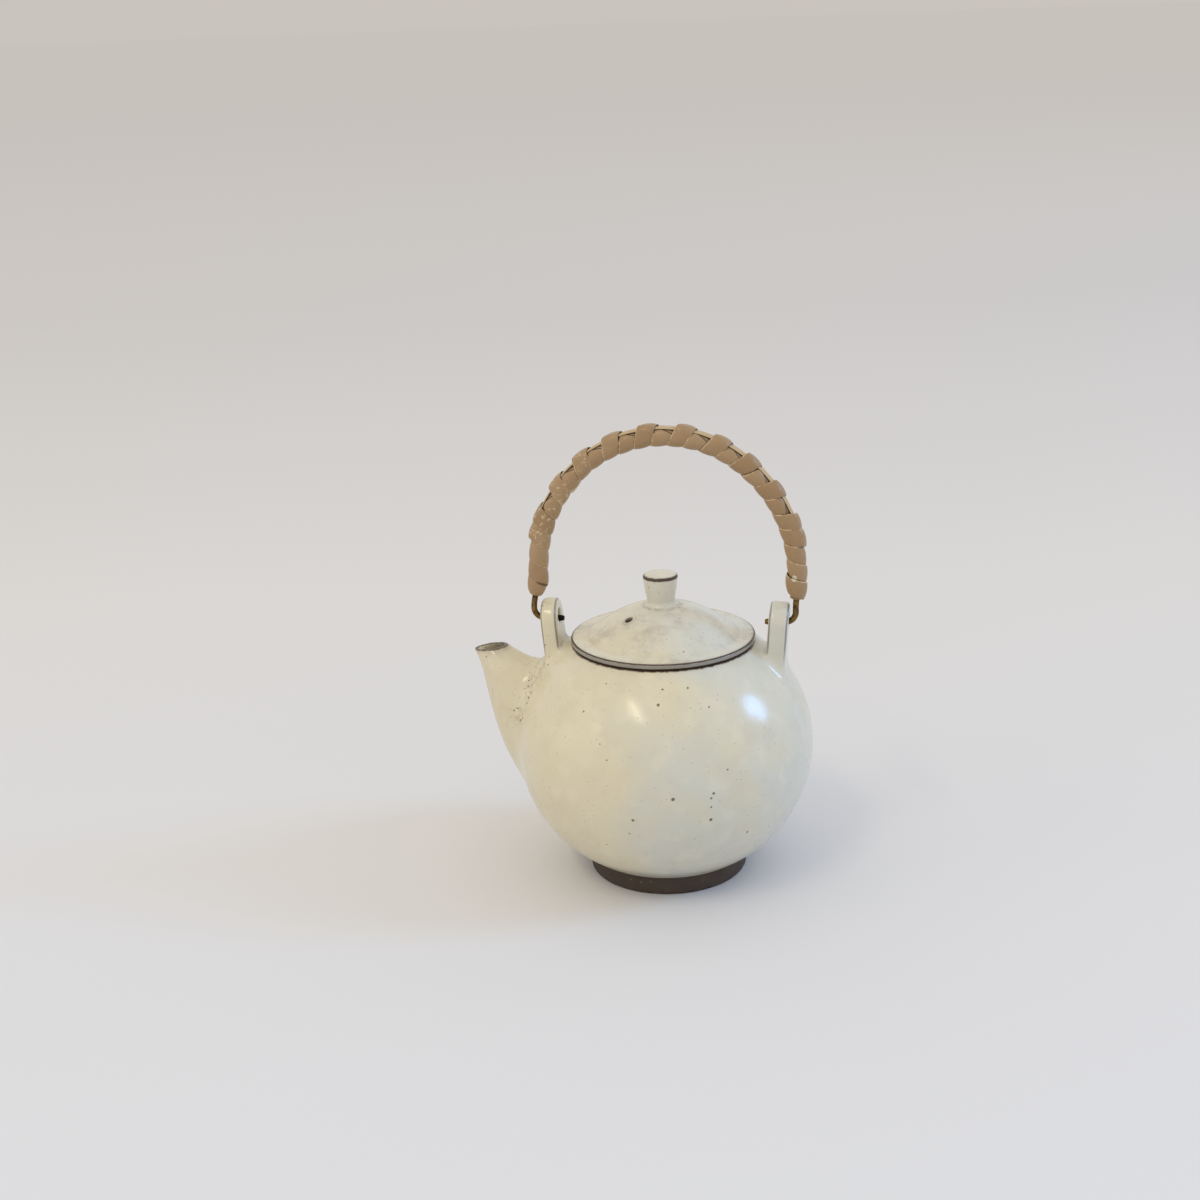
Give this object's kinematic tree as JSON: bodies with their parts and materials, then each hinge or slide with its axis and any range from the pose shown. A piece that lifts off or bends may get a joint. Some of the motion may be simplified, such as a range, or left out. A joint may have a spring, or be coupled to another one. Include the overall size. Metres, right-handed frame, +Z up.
{
  "type": "bamboo-handle teapot",
  "caption": "Round cream-glazed side-spout teapot on a dark clay foot, with a lift-off domed lid and a swinging wire bail wound with tan tape.",
  "frame": {"origin": "on the floor, under the middle of the teapot's box from spout to belly", "axes": "+Z up along the pot's own axis, +X from the spout towards the rear lug, +Y across"},
  "size_m": [0.1494, 0.13, 0.2016],
  "materials": {
    "glaze": "glossy cream with iron specks",
    "bare_clay": "unglazed, fine grit",
    "brass_wire": "dull and darkened",
    "padding": "rough",
    "pale_cane": "smooth split cane",
    "tan_tape": "semi-gloss flat cane"
  },
  "bodies": {
    "pot": {"pot_bowl": "glaze", "pot_body": "glaze", "foot_ring": "bare_clay", "spout": "glaze", "strainer": "bare_clay", "lug_front": "glaze", "lug_rear": "glaze"},
    "lid": {"lid": "glaze", "lid_ring": "bare_clay", "lid_knob": "glaze"},
    "bail": {"bail_wire": "brass_wire", "handle_core": "padding", "handle_strip": "pale_cane", "tape_front": "tan_tape", "tape_rear": "tan_tape"}
  },
  "joints": [
    {"name": "lid_lift", "type": "slide", "parent": "pot", "child": "lid", "axis": [0, 0, 1], "range_m": [0, 0.045]},
    {"name": "bail_swing", "type": "hinge", "parent": "pot", "child": "bail", "pos_m": [0.01027, 0, 0.11468], "axis": [1, 0, 0], "range_deg": [-110, 110]}
  ]
}
